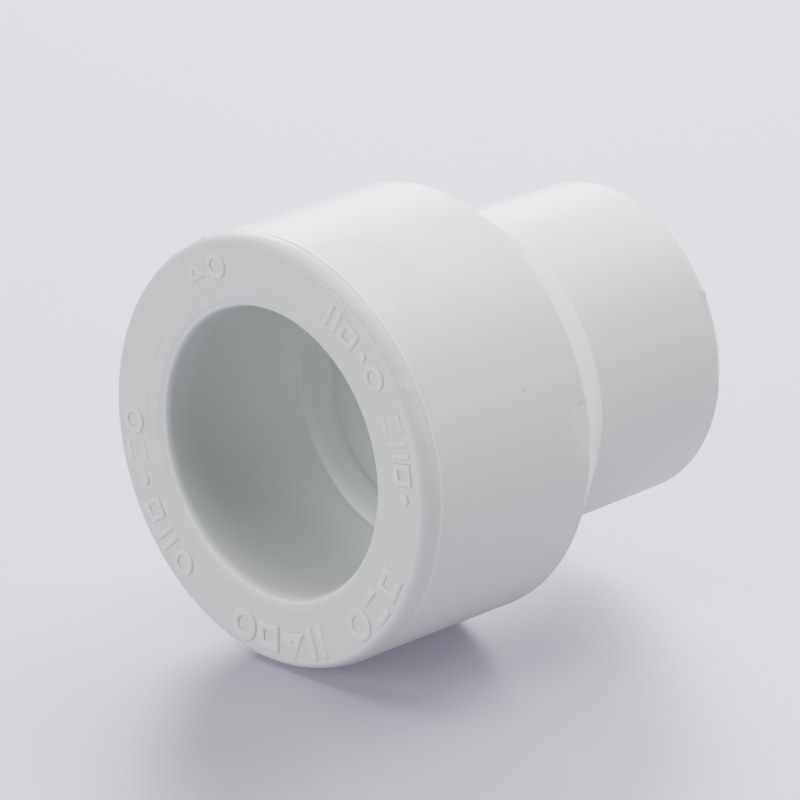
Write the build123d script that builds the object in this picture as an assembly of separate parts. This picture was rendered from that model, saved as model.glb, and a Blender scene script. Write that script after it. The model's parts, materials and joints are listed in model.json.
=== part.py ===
"""Pipe reducer in polypropylene: a 40 mm spigot, a sloped shoulder and a 20 mm welding socket.

The row frame has +X along the pipe axis, from the spigot's end face towards the socket's mouth,
and +Z up, with the origin at the centre of the spigot's end face. Sizes are in millimetres.

The real reducer is one moulding. It is built here as the stretches that its own creases divide it
into, which meet face to face, and as the marks that stand up from its end face. Every stretch is
a ring turned about X, so each one is an outline of (x, radius) points and a few arcs.
"""

import math
import os

from build123d import *

# Spigot: the plain end that is welded into a 40 mm socket.
SPIGOT_R = 20.0
SPIGOT_LENGTH = 20.5
SPIGOT_WALL = 6.7
SPIGOT_BORE_R = SPIGOT_R - SPIGOT_WALL
NOSE_ROUND = 0.5
LIP_ROUND = 1.1
END_RING_DEPTH = 1.5

# Inside the spigot: a slightly tapered bore, then a hollow ledge down to the bore's bottom.
BORE_END_R = 12.8
LEDGE_X = 16.4
LEDGE_BAND_R = 15.0
BOTTOM_X = 19.0
BOTTOM_R = 11.4

# Shoulder: the straight slope from the spigot down to the socket.
SHOULDER_END_X = 27.1
SOCKET_OUTER_ROOT_R = 14.8

# Waterway: a funnel at the bore's bottom, about as steep as the shoulder, then a narrow hole.
FUNNEL_END_X = 22.7
FUNNEL_END_R = 8.5
WATERWAY_NARROW_R = 8.2

# Socket: the end that takes a 20 mm pipe, which stops against an inner collar.
TOTAL_LENGTH = 43.1
SOCKET_OUTER_END_R = 14.5
SOCKET_BORE_R = 9.7
SOCKET_DEPTH = 14.6
STOP_X = TOTAL_LENGTH - SOCKET_DEPTH
STOP_COLLAR_R = 12.0
RIM_DEPTH = 2.0
RIM_OUTER_ROUND = 1.0
RIM_INNER_ROUND = 0.7
RIM_X = TOTAL_LENGTH - RIM_DEPTH

# Raised marks on the end face. Angles are about X, from -Y towards +Z, in degrees.
MARK_RELIEF = 0.15
MARK_RING_R = 17.3
SMALL_MARK = 2.4
SMALL_STROKE = 0.5
LARGE_MARK = 3.0
LARGE_STROKE = 0.7


def slope_radius(x, x0, r0, x1, r1):
    """Radius at x on the straight line from (x0, r0) to (x1, r1)."""
    return r0 + (r1 - r0) * (x - x0) / (x1 - x0)


def bore_radius(x):
    """Radius of the tapered spigot bore."""
    return slope_radius(x, 0, SPIGOT_BORE_R, LEDGE_X, BORE_END_R)


FUNNEL_R_AT_SHOULDER = slope_radius(SPIGOT_LENGTH, BOTTOM_X, BOTTOM_R, FUNNEL_END_X, FUNNEL_END_R)


def waterway_radius(x):
    """Radius of the narrow hole behind the funnel."""
    return slope_radius(x, FUNNEL_END_X, FUNNEL_END_R, STOP_X, WATERWAY_NARROW_R)


def socket_outer_radius(x):
    """Outer radius of the slightly tapered socket."""
    return slope_radius(x, SHOULDER_END_X, SOCKET_OUTER_ROOT_R, TOTAL_LENGTH, SOCKET_OUTER_END_R)


def turned(*edges):
    """Solid turned about X from the edges of a closed (x, radius) outline."""
    outline = make_face(Wire(edges))
    return revolve(outline, axis=Axis.X)


def lines(*points):
    """Straight edges through the given (x, radius) points."""
    return [Line(a, b) for a, b in zip(points[:-1], points[1:])]


def quarter_round(centre, radius, start_angle):
    """Quarter arc in the (x, radius) plane, turning anticlockwise from start_angle."""
    return CenterArc(centre, radius, start_angle, 90)


def ledge_arc():
    """Arc from the end of the bore down to its bottom, where it runs level."""
    length = BOTTOM_X - LEDGE_X
    drop = BORE_END_R - BOTTOM_R
    radius = (length**2 + drop**2) / (2 * drop)
    turn = math.degrees(math.asin(length / radius))
    return CenterArc((BOTTOM_X, BOTTOM_R + radius), radius, 270 - turn, turn)


def end_ring():
    """Flat end face between its two rounds: the lip at the bore and the nose at the outside."""
    lip_centre = (LIP_ROUND, SPIGOT_BORE_R + LIP_ROUND)
    nose_centre = (NOSE_ROUND, SPIGOT_R - NOSE_ROUND)
    back_bore = (END_RING_DEPTH, bore_radius(END_RING_DEPTH))
    return turned(
        quarter_round(lip_centre, LIP_ROUND, 180),
        *lines((0, lip_centre[1]), (0, nose_centre[1])),
        quarter_round(nose_centre, NOSE_ROUND, 90),
        *lines(
            (NOSE_ROUND, SPIGOT_R),
            (END_RING_DEPTH, SPIGOT_R),
            back_bore,
            (LIP_ROUND, SPIGOT_BORE_R),
        ),
    )


def spigot_barrel():
    """Plain outer cylinder of the spigot round its tapered bore, up to the shoulder's edge."""
    return turned(
        *lines(
            (END_RING_DEPTH, bore_radius(END_RING_DEPTH)),
            (END_RING_DEPTH, SPIGOT_R),
            (SPIGOT_LENGTH, SPIGOT_R),
            (SPIGOT_LENGTH, LEDGE_BAND_R),
            (LEDGE_X, LEDGE_BAND_R),
            (LEDGE_X, BORE_END_R),
            (END_RING_DEPTH, bore_radius(END_RING_DEPTH)),
        )
    )


def bore_ledge():
    """Band at the bottom of the bore, curving inwards and ending in the start of the funnel."""
    return turned(
        ledge_arc(),
        *lines(
            (BOTTOM_X, BOTTOM_R),
            (SPIGOT_LENGTH, FUNNEL_R_AT_SHOULDER),
            (SPIGOT_LENGTH, LEDGE_BAND_R),
            (LEDGE_X, LEDGE_BAND_R),
            (LEDGE_X, BORE_END_R),
        ),
    )


def shoulder_cone():
    """Sloped wall that carries the spigot down to the socket."""
    return turned(
        *lines(
            (SPIGOT_LENGTH, FUNNEL_R_AT_SHOULDER),
            (SPIGOT_LENGTH, SPIGOT_R),
            (SHOULDER_END_X, SOCKET_OUTER_ROOT_R),
            (SHOULDER_END_X, waterway_radius(SHOULDER_END_X)),
            (FUNNEL_END_X, FUNNEL_END_R),
            (SPIGOT_LENGTH, FUNNEL_R_AT_SHOULDER),
        )
    )


def pipe_stop():
    """Collar behind the shoulder, whose inner step the 20 mm pipe stops against."""
    return turned(
        *lines(
            (SHOULDER_END_X, waterway_radius(SHOULDER_END_X)),
            (SHOULDER_END_X, STOP_COLLAR_R),
            (STOP_X, STOP_COLLAR_R),
            (STOP_X, WATERWAY_NARROW_R),
            (SHOULDER_END_X, waterway_radius(SHOULDER_END_X)),
        )
    )


def socket_barrel():
    """Wall round the welding socket and round the collar at its bottom."""
    return turned(
        *lines(
            (SHOULDER_END_X, STOP_COLLAR_R),
            (SHOULDER_END_X, SOCKET_OUTER_ROOT_R),
            (RIM_X, socket_outer_radius(RIM_X)),
            (RIM_X, SOCKET_BORE_R),
            (STOP_X, SOCKET_BORE_R),
            (STOP_X, STOP_COLLAR_R),
            (SHOULDER_END_X, STOP_COLLAR_R),
        )
    )


def socket_rim():
    """Rounded rim at the socket's mouth."""
    outer_centre = (TOTAL_LENGTH - RIM_OUTER_ROUND, SOCKET_OUTER_END_R - RIM_OUTER_ROUND)
    inner_centre = (TOTAL_LENGTH - RIM_INNER_ROUND, SOCKET_BORE_R + RIM_INNER_ROUND)
    return turned(
        *lines(
            (inner_centre[0], SOCKET_BORE_R),
            (RIM_X, SOCKET_BORE_R),
            (RIM_X, socket_outer_radius(RIM_X)),
            (outer_centre[0], SOCKET_OUTER_END_R),
        ),
        quarter_round(outer_centre, RIM_OUTER_ROUND, 0),
        *lines((TOTAL_LENGTH, outer_centre[1]), (TOTAL_LENGTH, inner_centre[1])),
        quarter_round(inner_centre, RIM_INNER_ROUND, 270),
    )


def ring_sign(size, stroke):
    """Plain ring."""
    return Circle(size / 2) - Circle(size / 2 - stroke)


def square_sign(size, stroke):
    """Plain open square."""
    side = size * 0.85
    return Rectangle(side, side) - Rectangle(side - 2 * stroke, side - 2 * stroke)


def bars_sign(size, stroke):
    """Two upright bars."""
    return Sketch() + GridLocations(size * 0.24 + stroke, 0, 2, 1) * Rectangle(stroke, size)


def steps_sign(size, stroke):
    """Two level bars, one above the other."""
    return Sketch() + GridLocations(0, size - stroke, 1, 2) * Rectangle(size * 0.7, stroke)


def wedge_sign(size, stroke):
    """Open triangle, point upwards."""
    reach = size * 0.55
    return RegularPolygon(reach, 3, rotation=90) - RegularPolygon(reach - 2 * stroke, 3, rotation=90)


def dot_sign(size, stroke):
    """Round dot."""
    return Circle(size / 6 + stroke / 4)


def mark(angles, size, stroke, signs):
    """Raised signs along the ring, evenly spaced from the first angle to the last."""
    solids = []
    step = (angles[1] - angles[0]) / (len(signs) - 1)
    for place, sign in enumerate(signs):
        if sign is None:
            continue
        angle = angles[0] + step * place
        turn = math.radians(angle)
        foot = (0, -MARK_RING_R * math.cos(turn), MARK_RING_R * math.sin(turn))
        upwards = Vector(0, -math.cos(turn), math.sin(turn))
        along = upwards.cross(Vector(-1, 0, 0))
        plane = Plane(origin=foot, x_dir=along, z_dir=(-1, 0, 0))
        solids += (plane * extrude(sign(size, stroke), MARK_RELIEF)).solids()
    return Compound(children=solids)


def marks():
    """The four marks, clockwise round the end face."""
    return {
        "cavity_mark": mark((122, 112), SMALL_MARK, SMALL_STROKE, [wedge_sign, ring_sign]),
        "grade_mark": mark(
            (61, 2),
            SMALL_MARK,
            SMALL_STROKE,
            [bars_sign, square_sign, dot_sign, ring_sign, None]
            + [steps_sign, bars_sign, square_sign, dot_sign],
        ),
        "maker_mark": mark(
            (-27, -100),
            LARGE_MARK,
            LARGE_STROKE,
            [square_sign, steps_sign, ring_sign, None]
            + [bars_sign, wedge_sign, square_sign, ring_sign],
        ),
        "size_mark": mark(
            (-129, -175),
            SMALL_MARK,
            SMALL_STROKE,
            [ring_sign, bars_sign, square_sign, dot_sign, steps_sign, ring_sign],
        ),
    }


nodes = {
    "spigot_end_ring": end_ring(),
    "spigot_barrel": spigot_barrel(),
    "bore_ledge": bore_ledge(),
    "shoulder_cone": shoulder_cone(),
    "pipe_stop": pipe_stop(),
    "socket_barrel": socket_barrel(),
    "socket_rim": socket_rim(),
    **marks(),
}

os.makedirs("parts", exist_ok=True)
for name, shape in nodes.items():
    shape.label = name
    export_step(shape, f"parts/{name}.step")
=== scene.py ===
"""Looks of the pipe reducer: every stretch of the moulding as a fine turned mesh, its raised marks
with soft edges, one satin polypropylene with painted light and shade on its edges, in its bore and on
its marks, a pale floor, soft light and the camera.

Lengths are in millimetres until a mesh, a lamp or the camera is made, where MM turns them into
metres. Angles round the part run from -Y towards +Z, in degrees.
"""

import json
import math

import bmesh
import bpy
import numpy as np
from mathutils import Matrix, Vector

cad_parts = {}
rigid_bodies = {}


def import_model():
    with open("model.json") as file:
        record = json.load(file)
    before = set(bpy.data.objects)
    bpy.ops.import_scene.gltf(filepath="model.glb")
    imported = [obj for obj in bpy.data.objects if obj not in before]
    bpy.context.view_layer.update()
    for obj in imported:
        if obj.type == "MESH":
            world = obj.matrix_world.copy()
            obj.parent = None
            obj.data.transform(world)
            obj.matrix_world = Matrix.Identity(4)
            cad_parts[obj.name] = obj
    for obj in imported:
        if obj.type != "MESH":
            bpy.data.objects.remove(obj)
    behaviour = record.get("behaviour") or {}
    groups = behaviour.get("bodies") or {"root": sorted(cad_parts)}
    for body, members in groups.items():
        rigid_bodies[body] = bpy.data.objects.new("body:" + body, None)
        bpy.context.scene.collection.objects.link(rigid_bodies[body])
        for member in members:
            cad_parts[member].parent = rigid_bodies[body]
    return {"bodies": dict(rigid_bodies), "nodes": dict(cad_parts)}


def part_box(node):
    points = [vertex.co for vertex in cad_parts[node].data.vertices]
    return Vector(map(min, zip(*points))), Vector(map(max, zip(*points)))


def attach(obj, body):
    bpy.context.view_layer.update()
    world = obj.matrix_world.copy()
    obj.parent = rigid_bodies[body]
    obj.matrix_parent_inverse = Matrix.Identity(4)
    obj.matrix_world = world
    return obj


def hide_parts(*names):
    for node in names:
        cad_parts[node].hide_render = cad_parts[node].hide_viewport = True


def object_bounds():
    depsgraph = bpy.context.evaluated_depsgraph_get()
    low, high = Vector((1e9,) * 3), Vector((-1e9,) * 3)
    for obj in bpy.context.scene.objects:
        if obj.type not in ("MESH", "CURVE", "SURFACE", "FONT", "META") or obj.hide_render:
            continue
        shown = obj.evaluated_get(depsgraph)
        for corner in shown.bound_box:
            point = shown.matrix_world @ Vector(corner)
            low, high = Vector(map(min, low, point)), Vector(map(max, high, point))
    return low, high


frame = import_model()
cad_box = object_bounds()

MM = 0.001
BODY = next(iter(frame["bodies"]))

# Turned meshes: points round the axis, the lengths of an outline's runs, and the spans of an arc
SEGMENTS = 540
FINE_STEP = 0.06
LIP_FOOT_STEP = 0.2
COARSE_STEP = 0.35
INNER_STEP = 0.8
HIDDEN_STEP = 2.5
LARGE_ARC_SPANS = 16
SMALL_ARC_SPANS = 12
NOSE_SPANS = 20
HALF_EDGE_SPANS = 4
SHARP_ANGLE = math.radians(18)
STATION_TOLERANCE = 0.005

# Nose: a quarter ellipse as far as the angle NOSE_END, where it is just inside the barrel's skin
NOSE_LENGTH = 1.70
NOSE_DEPTH = 0.85
NOSE_END = 70
# Lip at the bore, and the fine step round it on the end face
LIP_ROUND = 1.1
LIP_STEP_R = 15.3
LIP_STEP = 0.03
LIP_STEP_WIDTH = 0.06
# Flash ridge where the skin starts, with finely stepped mesh behind it
RIDGE_X = 1.80
RIDGE_WIDTH = 0.14
RIDGE_HEIGHT = 0.045
RIDGE_ZONE = 0.9

# Stations inside the bore, and the rounds further back
BOTTOM_X = 19.0
FUNNEL_END_X = 22.7
SHOULDER_EDGE_ROUND = 0.35
RIM_OUTER_ROUND = 1.0
RIM_INNER_ROUND = 0.7

# How far the skin lies inside the nominal size at stations: room for the flash near the nose, then
# the barrel's draft
SKIN_SINKS = [(2.4, 0.07), (20.5, 0.20), (27.1, 0.03)]
# The skin's own shape holds down to this depth below it, and is gone at twice the depth
SKIN_DEPTH = 0.7
# Slow swells: share of the height, waves round the part, turn per millimetre along it, phase
WAVE_HEIGHT = 0.012
SWELLS = [(0.40, 2, 0.21, 0.4), (0.25, 3, -0.33, 2.0), (0.20, 7, 0.55, 0), (0.15, 11, -0.80, 1.1)]
# The ridge's wander along the part and the change of its height: size, waves round the part, phase
RIDGE_WANDER = [(0.05, 3, 1), (0.03, 11, 0), (0.02, 29, 2)]
RIDGE_MEAN = 0.8
RIDGE_CHANGE = [(0.2, 5, 0), (0.15, 17, 1)]
# Round step of a mould insert
WITNESS = {"x": 4.0, "angle": 67, "radius": 4.7, "depth": 0.04, "edge": 0.16}
# The cut gate: a facet that deepens along the barrel up to the shoulder's edge
GATE = {"start": 18.8, "angle": 7.2, "half_width": 2.4, "depth": 0.26, "fade": 0.5}
GATE_CRISP_EDGE = 0.12
GATE_SOFT_EDGE = 0.8
# Nicks in the flash and at the socket's rim: station, angle, height, half length, half width
NICKS = [
    (0.6, 33, 0.10, 0.45, 0.30),
    (1.6, 93, -0.07, 0.25, 0.15),
    (1.6, 104, -0.07, 0.25, 0.20),
    (1.5, 118, 0.22, 0.35, 0.40),
    (1.5, 125, -0.16, 0.45, 0.60),
    (1.4, 132, 0.18, 0.50, 1.20),
    (1.2, 208, 0.10, 0.40, 0.80),
    (1.2, 213, -0.10, 0.40, 0.35),
    (1.2, 218, 0.10, 0.40, 0.80),
    (42.6, 31, 0.22, 0.50, 0.60),
]

# Raised marks: their edges are rounded, and their feet spread and sink into the face
MARKS = ("cavity_mark", "grade_mark", "maker_mark", "size_mark")
MARK_WELD = 0.002
MARK_FLAT_ANGLE = math.radians(1)
MARK_EDGE_ANGLE = math.radians(40)
MARK_EDGE_ROUND = 0.09
MARK_EDGE_SPANS = 4
MARK_EDGE_PROFILE = 0.5
MARK_FOOT_HEIGHT = 0.01
MARK_WALL_TILT = 0.7
MARK_FOOT_FLARE = 0.10
MARK_FOOT_SINK = 0.03
MARK_SHARP_ANGLE = math.radians(50)

# Camera
VIEW_AZIMUTH = -44.41
VIEW_ELEVATION = 21.12
VIEW_DISTANCE = 863.4
VIEW_AIM = (18.74, 2.40, -0.57)
LENS = 433.4
SENSOR = 36

# Plastic. A noise is given as cells per millimetre and detail.
PLASTIC_COLOUR = (0.670, 0.695, 0.682)
PLASTIC_IOR = 1.49
# The marks' plastic is painted lighter by this factor: painted light on the raised marks, which are
# the same plastic as the face
MARK_PAINTED_LIGHT = 1.12
NOISE_SPREAD = (0.3, 0.7)
CLOUD_NOISE = (0.12, 3)
CLOUD_TINTS = (0.985, 1.015)
GLOSS_NOISE = (0.35, 4)
ROUGHNESS = (0.36, 0.46)
GRAIN_NOISE = (5, 2)
GRAIN_STRENGTH = 0.25
GRAIN_HEIGHT = 0.006
# Dark inclusions: cells per millimetre, and a speck's inner and outer radius as shares of a cell
SPECK_CELLS = 0.25
SPECK_SIZES = (0.015, 0.04)
SPECK_COLOUR = (0.22, 0.21, 0.19)
SPECK_STRENGTH = 0.6

# First station or radius of a zone that has no lower limit
NO_START = -1
# Bore's painted shade and painted bounce tint: how far behind the end face they start and how far into
# the wall they reach, each with its blur
BORE_PAINTED_SHADE_START = (0.8, 0.4)
BORE_PAINTED_SHADE_DEPTH = (0.1, 0.2)
# Greener hue of light bounced round inside the bore, painted into its colour
BORE_PAINTED_BOUNCE_HUE = (0.97, 1.0, 0.955)
# Strength of the bore's painted shade at stations along it, with a painted highlight line where the
# ledge starts
BORE_PAINTED_SHADE_AND_HIGHLIGHT = [
    (1, 0.92),
    (4, 0.85),
    (10, 0.94),
    (16.2, 1.02),
    (16.4, 1.28),
    (16.7, 1.18),
    (17.2, 1.02),
    (18.5, 0.95),
    (19.0, 0.85),
    (19.7, 0.93),
    (22, 0.92),
]
# Strength along the bore's lowest line and along its highest: painted shade, darker towards the top
BORE_PAINTED_SHADE_BY_HEIGHT = (1.05, 0.88)
# Painted light on the edges: a painted highlight on the lip and the flash, a painted glow on the nose,
# and painted shade in the groove before the flash: strength, first and last station, first and last
# radius, blur
EDGE_PAINTED_LIGHT = {
    "lip": (1.35, 0.12, 0.5, 13.5, 13.8, 0.08),
    "nose": (1.04, NO_START, 1.0, 19.2, 21, 0.4),
    "groove": (0.94, 1.1, 1.5, 19.5, 21, 0.15),
    "flash": (1.10, 1.62, 1.95, 19.5, 21, 0.12),
}

# Floor and light
FLOOR_COLOUR = (0.34, 0.325, 0.40)
FLOOR_NOISE = (0.004, 2)
FLOOR_TINTS = (0.99, 1.01)
FLOOR_GLOW = 0.12
FLOOR_SHEEN = (0.84, 0.79, 1.0)
FLOOR_GLOSS = 0.45
FLOOR_IOR = 1.36
FLOOR_HALF = 4000
AMBIENT_COLOUR = (0.93, 0.94, 1.0)
AMBIENT_STRENGTH = 0.06
LAMP_DISTANCE = 900
LAMP_WIDTH = 500
WHITE = (1.0, 1.0, 1.0)
# Softboxes: azimuth, elevation, watts, colour
LAMPS = {
    "softbox_low_back": (136, 22, 15.0, (0.92, 0.89, 1.0)),
    "softbox_back": (105, 42, 10.4, WHITE),
    "softbox_right": (75, 42, 6.2, WHITE),
    "softbox_top": (0, 88, 4.7, WHITE),
    "softbox_left": (-135, 70, 2.3, WHITE),
    "softbox_near": (30, 22, 3.3, (1.0, 1.0, 0.86)),
    "softbox_face": (-105, 14, 6.9, (1.0, 1.0, 0.98)),
}


# ---- sizes read from the frame ----


def stations(node):
    """First and last station of a CAD node along the axis."""
    low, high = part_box(node)
    return low.x / MM, high.x / MM


def radii(node, x):
    """Smallest and largest radius of a CAD node's corners at the station x."""
    corners = [v.co / MM for v in frame["nodes"][node].data.vertices]
    reach = [math.hypot(c.y, c.z) for c in corners if abs(c.x - x) < STATION_TOLERANCE]
    return min(reach), max(reach)


RING_START, RING_END = stations("spigot_end_ring")
BARREL_START, BARREL_END = stations("spigot_barrel")
LEDGE_START, LEDGE_END = stations("bore_ledge")
CONE_START, CONE_END = stations("shoulder_cone")
STOP_START, STOP_END = stations("pipe_stop")
SOCKET_START, SOCKET_END = stations("socket_barrel")
RIM_START, RIM_END = stations("socket_rim")

BACK_BORE_R, SPIGOT_R = radii("spigot_barrel", BARREL_START)
MOUTH_BORE_R = radii("spigot_end_ring", LIP_ROUND)[0]
LEDGE_R, BAND_R = radii("bore_ledge", LEDGE_START)
BOTTOM_R = radii("bore_ledge", BOTTOM_X)[0]
THROAT_R = radii("shoulder_cone", CONE_START)[0]
FUNNEL_END_R = radii("shoulder_cone", FUNNEL_END_X)[0]
FOOT_THROAT_R, FOOT_R = radii("shoulder_cone", CONE_END)
NARROW_R, COLLAR_R = radii("pipe_stop", STOP_END)
SOCKET_BORE_R, RIM_ROOT_R = radii("socket_rim", RIM_START)
RIM_R = radii("socket_rim", RIM_END - RIM_OUTER_ROUND)[1]


# ---- outlines: closed lists of (x, radius) ----


def run(start, end, step=COARSE_STEP):
    """Evenly spaced points from start up to, but not including, end."""
    start, end = Vector(start), Vector(end)
    count = max(1, round((end - start).length / step))
    return [tuple(start.lerp(end, i / count)) for i in range(count)]


def arc(centre, radius, first, last, spans):
    """Points on an arc in the (x, radius) plane, both ends included."""
    angles = [math.radians(first + (last - first) * i / spans) for i in range(spans + 1)]
    return [(centre[0] + radius * math.cos(a), centre[1] + radius * math.sin(a)) for a in angles]


def shoulder_edge():
    """The rounded edge between barrel and cone, in two halves that meet where the nodes meet."""
    fall = math.atan2(SPIGOT_R - FOOT_R, CONE_END - CONE_START)
    reach = SHOULDER_EDGE_ROUND * math.tan(fall / 2)
    centre = (BARREL_END - reach, SPIGOT_R - SHOULDER_EDGE_ROUND)
    meeting = math.degrees(math.acos(reach / SHOULDER_EDGE_ROUND))
    end = 90 - math.degrees(fall)
    on_barrel = arc(centre, SHOULDER_EDGE_ROUND, 90, meeting, HALF_EDGE_SPANS)
    on_cone = arc(centre, SHOULDER_EDGE_ROUND, meeting, end, HALF_EDGE_SPANS)
    return on_barrel, on_cone


def ledge_arc():
    """Arc from the end of the bore down to its bottom, where it runs level."""
    length, drop = BOTTOM_X - LEDGE_START, LEDGE_R - BOTTOM_R
    radius = (length**2 + drop**2) / (2 * drop)
    turn = math.degrees(math.asin(length / radius))
    return arc((BOTTOM_X, BOTTOM_R + radius), radius, 270 - turn, 270, LARGE_ARC_SPANS)


def nose_arc():
    """Part of a quarter ellipse, from the end face outwards to just inside the barrel's skin."""
    turns = [math.radians(NOSE_END * i / NOSE_SPANS) for i in range(NOSE_SPANS + 1)]
    return [
        (RING_START + NOSE_LENGTH * (1 - math.cos(t)), SPIGOT_R - NOSE_DEPTH * (1 - math.sin(t)))
        for t in turns
    ]


def seam_radius(x):
    """Radius of the slope from the nose's end up to the flash ridge."""
    nose_end_x, nose_end_r = nose_arc()[-1]
    return np.interp(x, [nose_end_x, RIDGE_X], [nose_end_r, SPIGOT_R])


def end_ring_outline():
    """Lip, a land round it that lies a little deeper than the end face, the face and the nose."""
    land = RING_START + LIP_STEP
    lip_centre = (land + LIP_ROUND, MOUTH_BORE_R + LIP_ROUND)
    lip = arc(lip_centre, LIP_ROUND, 270, 180, LARGE_ARC_SPANS)
    nose = nose_arc()
    seam = (RING_END, seam_radius(RING_END))
    back = (RING_END, BACK_BORE_R)
    face = (RING_START, LIP_STEP_R + LIP_STEP_WIDTH)
    return (
        run(back, lip[0], LIP_FOOT_STEP)
        + lip
        + run(lip[-1], (land, LIP_STEP_R))[1:]
        + [(land, LIP_STEP_R)]
        + run(face, nose[0])
        + nose
        + run(nose[-1], seam, FINE_STEP)[1:]
        + run(seam, back, HIDDEN_STEP)
    )


def barrel_outline():
    """Rise to the flash ridge, the plain barrel up to the shoulder's edge, and the tapered bore."""
    edge = shoulder_edge()[0]
    start = (BARREL_START, seam_radius(BARREL_START))
    crest = (RIDGE_X, SPIGOT_R)
    fine_end = (BARREL_START + RIDGE_ZONE, SPIGOT_R)
    return (
        run(start, crest, FINE_STEP)
        + run(crest, fine_end, FINE_STEP)
        + run(fine_end, edge[0])
        + edge
        + run(edge[-1], (BARREL_END, BAND_R), HIDDEN_STEP)[1:]
        + run((BARREL_END, BAND_R), (LEDGE_START, BAND_R), HIDDEN_STEP)
        + run((LEDGE_START, BAND_R), (LEDGE_START, LEDGE_R), HIDDEN_STEP)
        + run((LEDGE_START, LEDGE_R), (BARREL_START, BACK_BORE_R), INNER_STEP)
        + run((BARREL_START, BACK_BORE_R), start, HIDDEN_STEP)
    )


def ledge_outline():
    """Band that curves down to the bore's bottom and ends in the start of the funnel."""
    curve = ledge_arc()
    return (
        curve
        + run(curve[-1], (LEDGE_END, THROAT_R), INNER_STEP)[1:]
        + run((LEDGE_END, THROAT_R), (LEDGE_END, BAND_R), HIDDEN_STEP)
        + run((LEDGE_END, BAND_R), (LEDGE_START, BAND_R), HIDDEN_STEP)
        + run((LEDGE_START, BAND_R), curve[0], HIDDEN_STEP)
    )


def cone_outline():
    """Slope outside, and inside it the rest of the funnel with the start of the narrow waterway."""
    edge = shoulder_edge()[1]
    return (
        edge
        + run(edge[-1], (CONE_END, FOOT_R))[1:]
        + run((CONE_END, FOOT_R), (CONE_END, FOOT_THROAT_R), HIDDEN_STEP)
        + run((CONE_END, FOOT_THROAT_R), (FUNNEL_END_X, FUNNEL_END_R), INNER_STEP)
        + run((FUNNEL_END_X, FUNNEL_END_R), (CONE_START, THROAT_R), INNER_STEP)
        + run((CONE_START, THROAT_R), edge[0], HIDDEN_STEP)
    )


def stop_outline():
    """Inner collar that the pipe stops against."""
    return (
        run((STOP_START, FOOT_THROAT_R), (STOP_START, COLLAR_R), HIDDEN_STEP)
        + run((STOP_START, COLLAR_R), (STOP_END, COLLAR_R), HIDDEN_STEP)
        + run((STOP_END, COLLAR_R), (STOP_END, NARROW_R), INNER_STEP)
        + run((STOP_END, NARROW_R), (STOP_START, FOOT_THROAT_R), INNER_STEP)
    )


def socket_outline():
    """Wall round the socket and round the collar at its bottom."""
    return (
        run((SOCKET_START, FOOT_R), (SOCKET_END, RIM_ROOT_R))
        + run((SOCKET_END, RIM_ROOT_R), (SOCKET_END, SOCKET_BORE_R), HIDDEN_STEP)
        + run((SOCKET_END, SOCKET_BORE_R), (STOP_END, SOCKET_BORE_R), INNER_STEP)
        + run((STOP_END, SOCKET_BORE_R), (STOP_END, COLLAR_R), HIDDEN_STEP)
        + run((STOP_END, COLLAR_R), (SOCKET_START, COLLAR_R), HIDDEN_STEP)
        + run((SOCKET_START, COLLAR_R), (SOCKET_START, FOOT_R), HIDDEN_STEP)
    )


def rim_outline():
    """Socket's mouth with both of its rounds."""
    outer_centre = (RIM_END - RIM_OUTER_ROUND, RIM_R - RIM_OUTER_ROUND)
    inner_centre = (RIM_END - RIM_INNER_ROUND, SOCKET_BORE_R + RIM_INNER_ROUND)
    outer = arc(outer_centre, RIM_OUTER_ROUND, 90, 0, LARGE_ARC_SPANS)
    inner = arc(inner_centre, RIM_INNER_ROUND, 0, -90, SMALL_ARC_SPANS)
    return (
        run((RIM_START, RIM_ROOT_R), outer[0])
        + outer
        + run(outer[-1], inner[0])[1:]
        + inner
        + run(inner[-1], (RIM_START, SOCKET_BORE_R), INNER_STEP)[1:]
        + run((RIM_START, SOCKET_BORE_R), (RIM_START, RIM_ROOT_R), HIDDEN_STEP)
    )


# ---- unevenness ----


def bump(distance, width):
    """Bell curve: 1 at distance 0 and about 0 past twice the width."""
    return np.exp(-((distance / width) ** 2))


def step_down(distance, softness):
    """1 well before distance 0 and 0 well past it."""
    return 0.5 - 0.5 * np.tanh(distance / softness)


def round_distance(x, angle, at_x, at_angle, radius):
    """Distances along and round the skin from one place on it."""
    turn = (angle - at_angle + 180) % 360 - 180
    return x - at_x, np.radians(turn) * radius


def waves(x, angle):
    """Slow swells of the whole surface, between -1 and 1."""
    turn = np.radians(angle)
    return sum(
        share * np.sin(times * turn + slant * x + phase) for share, times, slant, phase in SWELLS
    )


def ripples(terms, turn, start=0):
    """Start value plus a sum of sine waves round the part."""
    return sum((size * np.sin(times * turn + phase) for size, times, phase in terms), start)


def flash_ridge(x, angle):
    """The fine ridge that the mould's parting leaves behind the nose, a little unsteady."""
    turn = np.radians(angle)
    wander = ripples(RIDGE_WANDER, turn)
    strength = ripples(RIDGE_CHANGE, turn, RIDGE_MEAN)
    return RIDGE_HEIGHT * strength * bump(x - RIDGE_X - wander, RIDGE_WIDTH)


def witness_step(x, angle):
    """Very shallow round step where a mould insert ends."""
    along, across = round_distance(x, angle, WITNESS["x"], WITNESS["angle"], SPIGOT_R)
    from_edge = np.hypot(along, across) - WITNESS["radius"]
    return -WITNESS["depth"] * step_down(from_edge, WITNESS["edge"])


def gate_cut(x, angle):
    """Facet where the gate was cut off: crisp at its upper end, fading out at its lower one."""
    along, across = round_distance(x, angle, GATE["start"], GATE["angle"], SPIGOT_R)
    length = BARREL_END - GATE["start"]
    fall = np.interp(along, [0, length, length + GATE["fade"]], [0, 1, 0])
    upper = step_down(across - GATE["half_width"], GATE_CRISP_EDGE)
    lower = step_down(-across - GATE["half_width"], GATE_SOFT_EDGE)
    return -GATE["depth"] * fall * upper * lower


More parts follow.
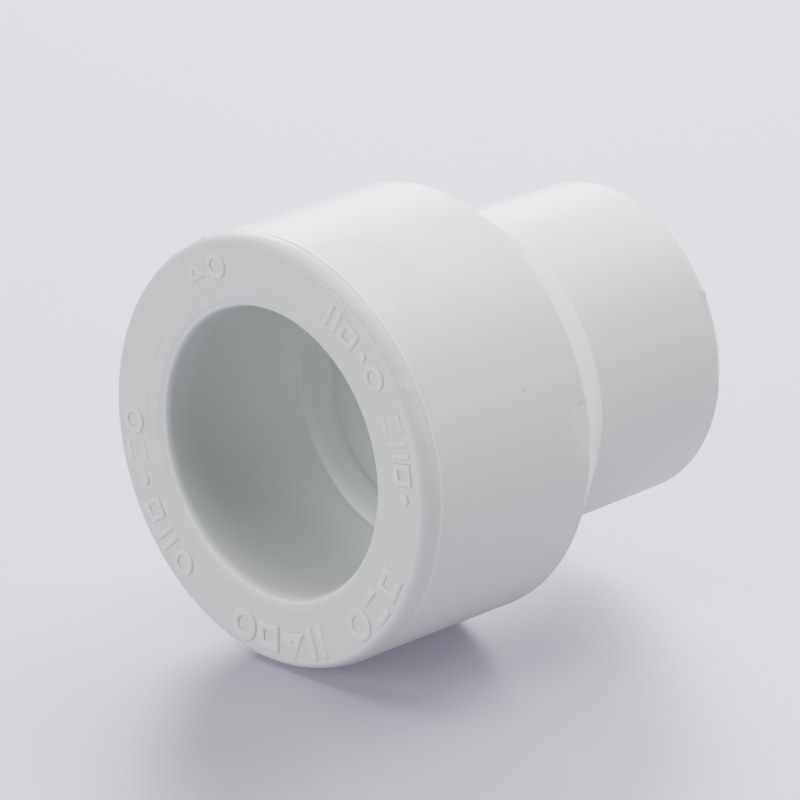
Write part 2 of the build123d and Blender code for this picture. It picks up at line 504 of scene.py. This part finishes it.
def nicks(x, angle, r):
    """Small lumps and dents along the edges."""
    total = np.zeros_like(x)
    for at_x, at_angle, height, half_length, half_width in NICKS:
        along, across = round_distance(x, angle, at_x, at_angle, r)
        total += height * bump(along, half_length) * bump(across, half_width)
    return total


def uneven(x, r, angle):
    """How far each point of the moulding stands out from its true radius."""
    skin_r = np.interp(x, [BARREL_END, CONE_END], [SPIGOT_R, FOOT_R])
    outside = np.clip(2 - (skin_r - r) / SKIN_DEPTH, 0, 1)
    skin = flash_ridge(x, angle) + witness_step(x, angle) + gate_cut(x, angle) + nicks(x, angle, r)
    sink = np.interp(x, *zip(*SKIN_SINKS))
    return WAVE_HEIGHT * waves(x, angle) + outside * (skin - sink)


# ---- meshes ----


def finish_piece(name, mesh, node, material, sharp_angle):
    """Turns a mesh into a smooth piece that stands for its CAD node."""
    mesh.shade_smooth()
    mesh.set_sharp_from_angle(angle=sharp_angle)
    mesh.materials.clear()
    mesh.materials.append(material)
    piece = bpy.data.objects.new(name, mesh)
    bpy.context.scene.collection.objects.link(piece)
    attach(piece, BODY)
    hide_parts(node)


def turned(outline):
    """Closed mesh of an outline turned about X, with the mould's unevenness."""
    x, r = np.array(outline).T
    angle = np.arange(SEGMENTS) * 360 / SEGMENTS
    x, angle = np.meshgrid(x, angle, indexing="ij")
    r = np.repeat(r[:, None], SEGMENTS, axis=1)
    r = r + uneven(x, r, angle)
    turn = np.radians(angle)
    points = np.stack([x, -r * np.cos(turn), r * np.sin(turn)], axis=-1) * MM

    index = np.arange(x.size).reshape(x.shape)
    right, up = np.roll(index, -1, axis=1), np.roll(index, -1, axis=0)
    corner = np.roll(up, -1, axis=1)
    quads = np.stack([index, right, corner, up], axis=-1).reshape(-1, 4)

    mesh = bpy.data.meshes.new("turned")
    mesh.from_pydata(points.reshape(-1, 3).tolist(), [], quads.tolist())
    shell = bmesh.new()
    shell.from_mesh(mesh)
    bmesh.ops.recalc_face_normals(shell, faces=shell.faces)
    shell.to_mesh(mesh)
    shell.free()
    return mesh


def softened(node):
    """Copy of a raised mark with rounded edges and a foot that spreads into the face."""
    mesh = frame["nodes"][node].data.copy()
    soft = bmesh.new()
    soft.from_mesh(mesh)
    bmesh.ops.remove_doubles(soft, verts=soft.verts, dist=MARK_WELD * MM)
    bmesh.ops.dissolve_limit(soft, angle_limit=MARK_FLAT_ANGLE, verts=soft.verts, edges=soft.edges)
    foot = -MARK_FOOT_HEIGHT * MM
    crests = [e for e in soft.edges if min(v.co.x for v in e.verts) < foot]
    sharp = [e for e in crests if e.is_manifold and e.calc_face_angle() > MARK_EDGE_ANGLE]
    bmesh.ops.bevel(
        soft,
        geom=sharp,
        offset=MARK_EDGE_ROUND * MM,
        offset_type="OFFSET",
        segments=MARK_EDGE_SPANS,
        profile=MARK_EDGE_PROFILE,
        affect="EDGES",
    )
    soft.normal_update()
    spread = {}
    for vert in soft.verts:
        if vert.co.x > foot:
            walls = [f.normal for f in vert.link_faces if abs(f.normal.x) < MARK_WALL_TILT]
            if walls:
                spread[vert] = sum(walls, Vector()).normalized() * MARK_FOOT_FLARE * MM
    for vert, shift in spread.items():
        vert.co += Vector((MARK_FOOT_SINK * MM, shift.y, shift.z))
    bmesh.ops.recalc_face_normals(soft, faces=soft.faces)
    soft.to_mesh(mesh)
    soft.free()
    if mesh.has_custom_normals:
        mesh.normals_split_custom_set_from_vertices([v.normal for v in mesh.vertices])
    return mesh


# ---- materials ----


def new_material(name):
    """New material with its nodes, its links and its shader."""
    material = bpy.data.materials.new(name)
    material.use_nodes = True
    nodes = material.node_tree.nodes
    return material, nodes, material.node_tree.links, nodes["Principled BSDF"]


def noise(nodes, links, cells_per_mm, detail):
    """Noise texture in the part's own space."""
    place = nodes.new("ShaderNodeTexCoord")
    texture = nodes.new("ShaderNodeTexNoise")
    texture.inputs["Scale"].default_value = cells_per_mm / MM
    texture.inputs["Detail"].default_value = detail
    links.new(place.outputs["Object"], texture.inputs["Vector"])
    return texture.outputs["Fac"]


def spread_range(nodes, links, source, low, high, from_low, from_high):
    """Stretches the range between two values of the source onto the one from low to high."""
    stretch = nodes.new("ShaderNodeMapRange")
    stretch.inputs["From Min"].default_value = from_low
    stretch.inputs["From Max"].default_value = from_high
    stretch.inputs["To Min"].default_value = low
    stretch.inputs["To Max"].default_value = high
    links.new(source, stretch.inputs["Value"])
    return stretch.outputs["Result"]


def mix_colour(nodes, links, factor, a, b):
    """Colour between a and b; each is a colour or the output of another node."""
    mix = nodes.new("ShaderNodeMix")
    mix.data_type = "RGBA"
    links.new(factor, mix.inputs["Factor"])
    for socket, colour in ((mix.inputs["A"], a), (mix.inputs["B"], b)):
        if isinstance(colour, tuple):
            socket.default_value = (*colour, 1)
        else:
            links.new(colour, socket)
    return mix.outputs["Result"]


def scaled(colour, factor):
    """Lighter or darker version of a colour."""
    return tuple(c * factor for c in colour)


def clouded(nodes, links, cloud, colour, tints):
    """Colour that drifts with a noise between a darker and a lighter version of itself."""
    darker, lighter = (scaled(colour, tint) for tint in tints)
    return mix_colour(nodes, links, noise(nodes, links, *cloud), darker, lighter)


def place_in_part(nodes, links):
    """Distance along the axis, distance from it and height above it, all in metres."""
    place = nodes.new("ShaderNodeTexCoord")
    split = nodes.new("ShaderNodeSeparateXYZ")
    across = nodes.new("ShaderNodeCombineXYZ")
    length = nodes.new("ShaderNodeVectorMath")
    length.operation = "LENGTH"
    links.new(place.outputs["Object"], split.inputs["Vector"])
    links.new(split.outputs["Y"], across.inputs["Y"])
    links.new(split.outputs["Z"], across.inputs["Z"])
    links.new(across.outputs["Vector"], length.inputs[0])
    return split.outputs["X"], length.outputs["Value"], split.outputs["Z"]


def window(nodes, links, source, low, high, blur):
    """1 where the source lies between low and high, in millimetres, with blurred ends."""
    up = spread_range(nodes, links, source, 0, 1, (low - blur) * MM, (low + blur) * MM)
    down = spread_range(nodes, links, source, 1, 0, (high - blur) * MM, (high + blur) * MM)
    return product(nodes, links, up, down)


def product(nodes, links, a, b):
    """Output of one node times the output of another."""
    times = nodes.new("ShaderNodeMath")
    times.operation = "MULTIPLY"
    links.new(a, times.inputs[0])
    links.new(b, times.inputs[1])
    return times.outputs["Value"]


def bore_painted_light(nodes, links, station, height, colour):
    """Painted bounce light and shade inside the bore: greener and darker, with a painted highlight at
    the ledge's edge, and darker towards the top.
    """
    ramp = nodes.new("ShaderNodeValToRGB")
    links.new(spread_range(nodes, links, station, 0, 1, 0, STOP_END * MM), ramp.inputs["Fac"])
    stops = ramp.color_ramp.elements
    while len(stops) < len(BORE_PAINTED_SHADE_AND_HIGHLIGHT):
        stops.new(1)
    for stop, (at_x, strength) in zip(stops, BORE_PAINTED_SHADE_AND_HIGHLIGHT):
        stop.position = at_x / STOP_END
        stop.color = (*(c * h * strength for c, h in zip(colour, BORE_PAINTED_BOUNCE_HUE)), 1)
    deepen = nodes.new("ShaderNodeVectorMath")
    deepen.operation = "SCALE"
    links.new(ramp.outputs["Color"], deepen.inputs[0])
    reach = MOUTH_BORE_R * MM
    share = spread_range(nodes, links, height, *BORE_PAINTED_SHADE_BY_HEIGHT, -reach, reach)
    links.new(share, deepen.inputs["Scale"])
    return deepen.outputs["Vector"]


def painted_light_tint(nodes, links, colour):
    """Base colour with painted highlights and glow on thin lit edges, painted shade in the groove, and
    the painted shade and bounce tint of the bore.
    """
    station, radius, height = place_in_part(nodes, links)
    tint = clouded(nodes, links, CLOUD_NOISE, colour, CLOUD_TINTS)
    # Inside the bore the colour takes painted shade, a painted greener bounce tint and a painted
    # highlight at the ledge.
    start, start_blur = BORE_PAINTED_SHADE_START
    depth, depth_blur = BORE_PAINTED_SHADE_DEPTH
    in_bore = window(nodes, links, radius, NO_START, MOUTH_BORE_R + depth, depth_blur)
    at_depth = window(nodes, links, station, start, STOP_END, start_blur)
    inside = product(nodes, links, in_bore, at_depth)
    tint = mix_colour(nodes, links, inside, tint, bore_painted_light(nodes, links, station, height, colour))
    # Painted highlights on the lip and the flash, painted glow on the nose, painted shade in the
    # groove.
    for strength, first_x, last_x, first_r, last_r, blur in EDGE_PAINTED_LIGHT.values():
        at_station = window(nodes, links, station, first_x, last_x, blur)
        at_radius = window(nodes, links, radius, first_r, last_r, blur)
        painted_edge_mask = product(nodes, links, at_station, at_radius)
        tint = mix_colour(nodes, links, painted_edge_mask, tint, scaled(colour, strength))
    return tint


def polypropylene(name, colour):
    """Satin moulded plastic: cloudy tint, painted light and shade on its edges and in its bore, uneven
    gloss, fine grain and rare dark inclusions.
    """
    material, nodes, links, shader = new_material(name)
    shader.inputs["IOR"].default_value = PLASTIC_IOR
    # Painted light and shade on the edges and in the bore go into the base colour.
    tint = painted_light_tint(nodes, links, colour)

    cells = nodes.new("ShaderNodeTexVoronoi")
    cells.inputs["Scale"].default_value = SPECK_CELLS / MM
    place = nodes.new("ShaderNodeTexCoord")
    links.new(place.outputs["Object"], cells.inputs["Vector"])
    from_speck = cells.outputs["Distance"]
    speck = spread_range(nodes, links, from_speck, SPECK_STRENGTH, 0, *SPECK_SIZES)
    links.new(mix_colour(nodes, links, speck, tint, SPECK_COLOUR), shader.inputs["Base Color"])

    gloss = spread_range(nodes, links, noise(nodes, links, *GLOSS_NOISE), *ROUGHNESS, *NOISE_SPREAD)
    links.new(gloss, shader.inputs["Roughness"])

    relief = nodes.new("ShaderNodeBump")
    relief.inputs["Strength"].default_value = GRAIN_STRENGTH
    relief.inputs["Distance"].default_value = GRAIN_HEIGHT * MM
    links.new(noise(nodes, links, *GRAIN_NOISE), relief.inputs["Height"])
    links.new(relief.outputs["Normal"], shader.inputs["Normal"])
    return material


def floor_material():
    """Pale satin board."""
    material, nodes, links, shader = new_material("pale_board")
    tone = clouded(nodes, links, FLOOR_NOISE, FLOOR_COLOUR, FLOOR_TINTS)
    links.new(tone, shader.inputs["Base Color"])
    shader.inputs["Roughness"].default_value = FLOOR_GLOSS
    shader.inputs["IOR"].default_value = FLOOR_IOR
    shader.inputs["Specular Tint"].default_value = (*FLOOR_SHEEN, 1)
    shader.inputs["Emission Color"].default_value = (*FLOOR_SHEEN, 1)
    shader.inputs["Emission Strength"].default_value = FLOOR_GLOW
    return material


# ---- stage ----


def direction(azimuth, elevation):
    """Unit vector from the part towards a place seen at this azimuth and elevation."""
    a, e = math.radians(azimuth), math.radians(elevation)
    return Vector((math.sin(a) * math.cos(e), -math.cos(a) * math.cos(e), math.sin(e)))


def look_at(thing, place, target):
    """Puts a lamp or the camera at a place and turns it towards the target."""
    thing.location = place
    thing.rotation_mode = "QUATERNION"
    thing.rotation_quaternion = (target - place).to_track_quat("-Z", "Y")


def add_floor():
    """Flat floor under the part's lowest point."""
    height = cad_box[0].z
    half = FLOOR_HALF * MM
    corners = [(x, y, height) for x, y in ((-half, -half), (half, -half), (half, half), (-half, half))]
    mesh = bpy.data.meshes.new("floor")
    mesh.from_pydata(corners, [], [(0, 1, 2, 3)])
    mesh.materials.append(floor_material())
    floor = bpy.data.objects.new("floor", mesh)
    bpy.context.scene.collection.objects.link(floor)


def add_lamps():
    """Round softboxes on a sphere round the part, all facing it."""
    centre = (cad_box[0] + cad_box[1]) / 2
    for name, (azimuth, elevation, watts, colour) in LAMPS.items():
        lamp = bpy.data.lights.new(name, "AREA")
        lamp.shape = "DISK"
        lamp.size = LAMP_WIDTH * MM
        lamp.energy = watts
        lamp.color = colour
        holder = bpy.data.objects.new(name, lamp)
        look_at(holder, centre + direction(azimuth, elevation) * LAMP_DISTANCE * MM, centre)
        bpy.context.scene.collection.objects.link(holder)


def add_ambient():
    """Weak light from all round, as in a bright room."""
    world = bpy.data.worlds.new("soft_room")
    world.use_nodes = True
    sky = world.node_tree.nodes["Background"]
    sky.inputs["Color"].default_value = (*AMBIENT_COLOUR, 1)
    sky.inputs["Strength"].default_value = AMBIENT_STRENGTH
    bpy.context.scene.world = world


def add_camera():
    """Camera with a long lens, above the part and to one side of its end face."""
    lens = bpy.data.cameras.new("camera")
    lens.lens = LENS
    lens.sensor_width = SENSOR
    camera = bpy.data.objects.new("camera", lens)
    aim = Vector(VIEW_AIM) * MM
    look_at(camera, aim + direction(VIEW_AZIMUTH, VIEW_ELEVATION) * VIEW_DISTANCE * MM, aim)
    bpy.context.scene.collection.objects.link(camera)
    bpy.context.scene.camera = camera


# ---- the part ----

OUTLINES = {
    "spigot_end_ring": end_ring_outline,
    "spigot_barrel": barrel_outline,
    "bore_ledge": ledge_outline,
    "shoulder_cone": cone_outline,
    "pipe_stop": stop_outline,
    "socket_barrel": socket_outline,
    "socket_rim": rim_outline,
}

moulding = polypropylene("polypropylene", PLASTIC_COLOUR)
# The marks get a lighter copy of the same plastic: painted light, not a different plastic.
raised = polypropylene("polypropylene_marks_painted_lighter", scaled(PLASTIC_COLOUR, MARK_PAINTED_LIGHT))
for node, outline in OUTLINES.items():
    finish_piece("moulded_" + node, turned(outline()), node, moulding, SHARP_ANGLE)
for node in MARKS:
    finish_piece("moulded_" + node, softened(node), node, raised, MARK_SHARP_ANGLE)
# The CAD nodes behind the pieces are of the same plastic.
for cad_node in frame["nodes"].values():
    cad_node.data.materials.clear()
    cad_node.data.materials.append(moulding)

add_floor()
add_lamps()
add_ambient()
add_camera()
